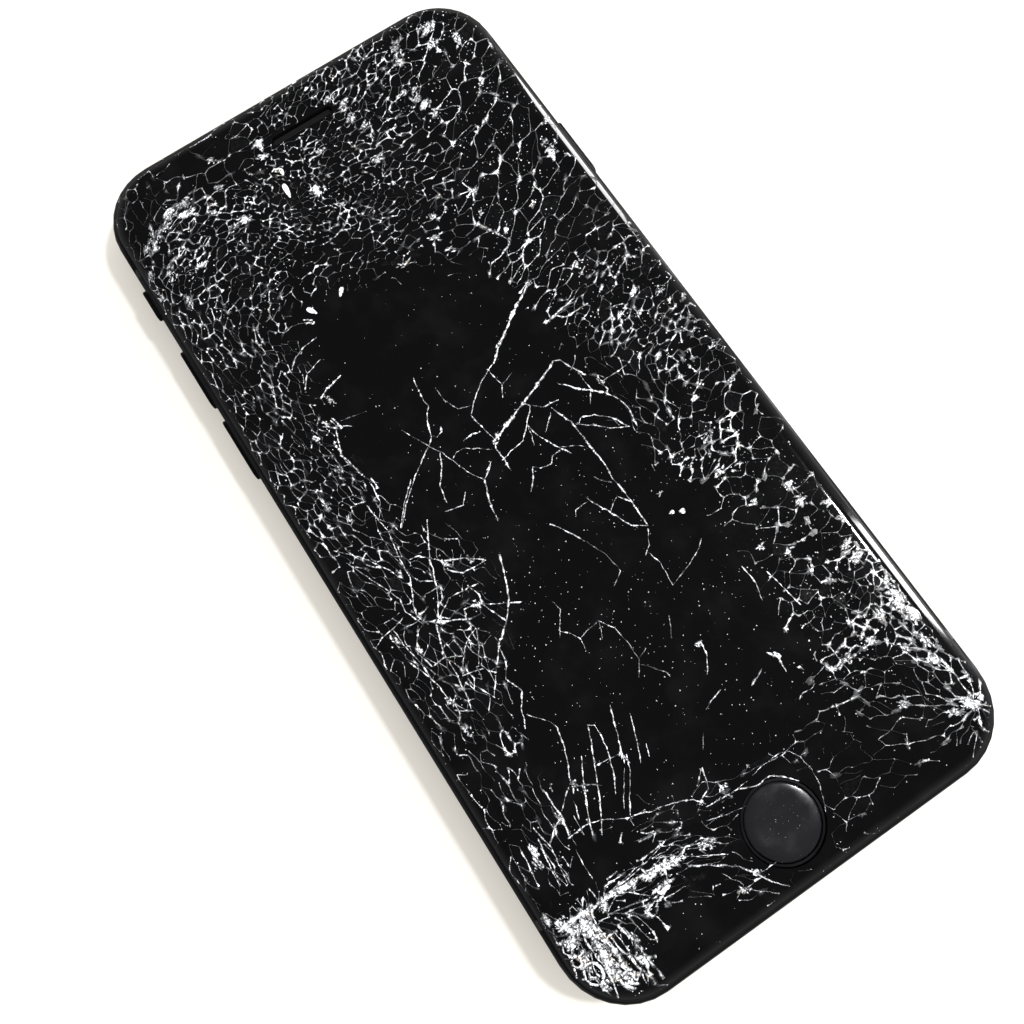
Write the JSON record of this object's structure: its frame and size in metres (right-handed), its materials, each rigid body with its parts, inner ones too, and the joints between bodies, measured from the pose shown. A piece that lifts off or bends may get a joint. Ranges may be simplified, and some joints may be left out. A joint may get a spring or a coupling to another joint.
{
  "type": "shattered screen phone",
  "caption": "Black slab phone with a home button, its cover glass shattered into shards from edge to edge, with side buttons, ring switch, card tray and rear camera.",
  "frame": {"origin": "middle of the bounding box at its lowest face, which is the rim of the rear camera ring", "axes": "+Z out of the screen, +Y towards the earpiece end, +X towards the side with the power button"},
  "size_m": [0.068, 0.1384, 0.008],
  "materials": {
    "case_metal": "black anodised, satin, lightly worn",
    "cover_glass": "black backed glass, glossy, cracked grey-white",
    "display_glass": "black, switched off",
    "button_face": "dark grey, smooth, dusty",
    "camera_glass": "coated lens glass",
    "flash_plastic": "pale yellow lens",
    "black_plastic": "matt black",
    "white_plastic": "white",
    "rubber": "black gasket",
    "dark_mesh": "fine woven mesh",
    "steel": "bright sheet",
    "battery_wrap": "dark grey pouch",
    "circuit_board": "solder mask",
    "flex_circuit": "copper film"
  },
  "bodies": {
    "phone": {"rear_housing": "case_metal", "antenna_band_top": "black_plastic", "antenna_band_bottom": "black_plastic", "cover_glass": "cover_glass", "front_frame": "black_plastic", "display_panel": "display_glass", "backlight_unit": "white_plastic", "display_shield": "steel", "home_button_gasket": "rubber", "home_switch": "steel", "home_bracket": "steel", "home_button_cable": "flex_circuit", "earpiece_mesh": "dark_mesh", "earpiece_speaker": "black_plastic", "front_camera": "black_plastic", "light_sensor": "black_plastic", "upper_bracket": "steel", "camera_ring": "case_metal", "camera_window": "camera_glass", "rear_camera": "black_plastic", "flash_lens": "flash_plastic", "flash_board": "circuit_board", "volume_bracket": "steel", "power_bracket": "steel", "ring_switch_body": "black_plastic", "sim_reader": "steel", "battery": "battery_wrap", "battery_strip_left": "white_plastic", "battery_strip_right": "white_plastic", "battery_connector": "black_plastic", "logic_board": "circuit_board", "processor_cover": "steel", "radio_cover": "steel", "power_chip_cover": "steel", "connector_cover": "steel", "display_cable": "flex_circuit", "board_screw_top_left": "steel", "board_screw_top_right": "steel", "board_screw_middle": "steel", "board_screw_bottom": "steel", "top_antenna": "flex_circuit", "antenna_carrier": "black_plastic", "charge_port": "steel", "charge_port_flex": "flex_circuit", "loudspeaker": "black_plastic", "vibration_motor": "steel", "speaker_mesh": "dark_mesh", "microphone_mesh": "dark_mesh", "end_screw_left": "steel", "end_screw_right": "steel"},
    "home_key": {"home_button": "button_face", "home_button_ring": "case_metal"},
    "volume_up": {"volume_up_button": "case_metal"},
    "volume_down": {"volume_down_button": "case_metal"},
    "power": {"power_button": "case_metal"},
    "ring_switch": {"ring_switch_lever": "case_metal"},
    "card_tray": {"sim_tray": "case_metal", "sim_card": "white_plastic"}
  },
  "joints": [
    {"name": "home_press", "type": "slide", "parent": "phone", "child": "home_key", "axis": [0, 0, -1], "range_m": [0, 0.00025], "stiffness_N_per_m": 6000},
    {"name": "volume_up_press", "type": "slide", "parent": "phone", "child": "volume_up", "axis": [1, 0, 0], "range_m": [0, 0.00025], "stiffness_N_per_m": 6000},
    {"name": "volume_down_press", "type": "slide", "parent": "phone", "child": "volume_down", "axis": [1, 0, 0], "range_m": [0, 0.00025], "stiffness_N_per_m": 6000},
    {"name": "power_press", "type": "slide", "parent": "phone", "child": "power", "axis": [-1, 0, 0], "range_m": [0, 0.00025], "stiffness_N_per_m": 6000},
    {"name": "ring_switch_slide", "type": "slide", "parent": "phone", "child": "ring_switch", "axis": [0, 0, -1], "range_m": [0, 0.0011]},
    {"name": "card_tray_slide", "type": "slide", "parent": "phone", "child": "card_tray", "axis": [1, 0, 0], "range_m": [0, 0.014]}
  ]
}
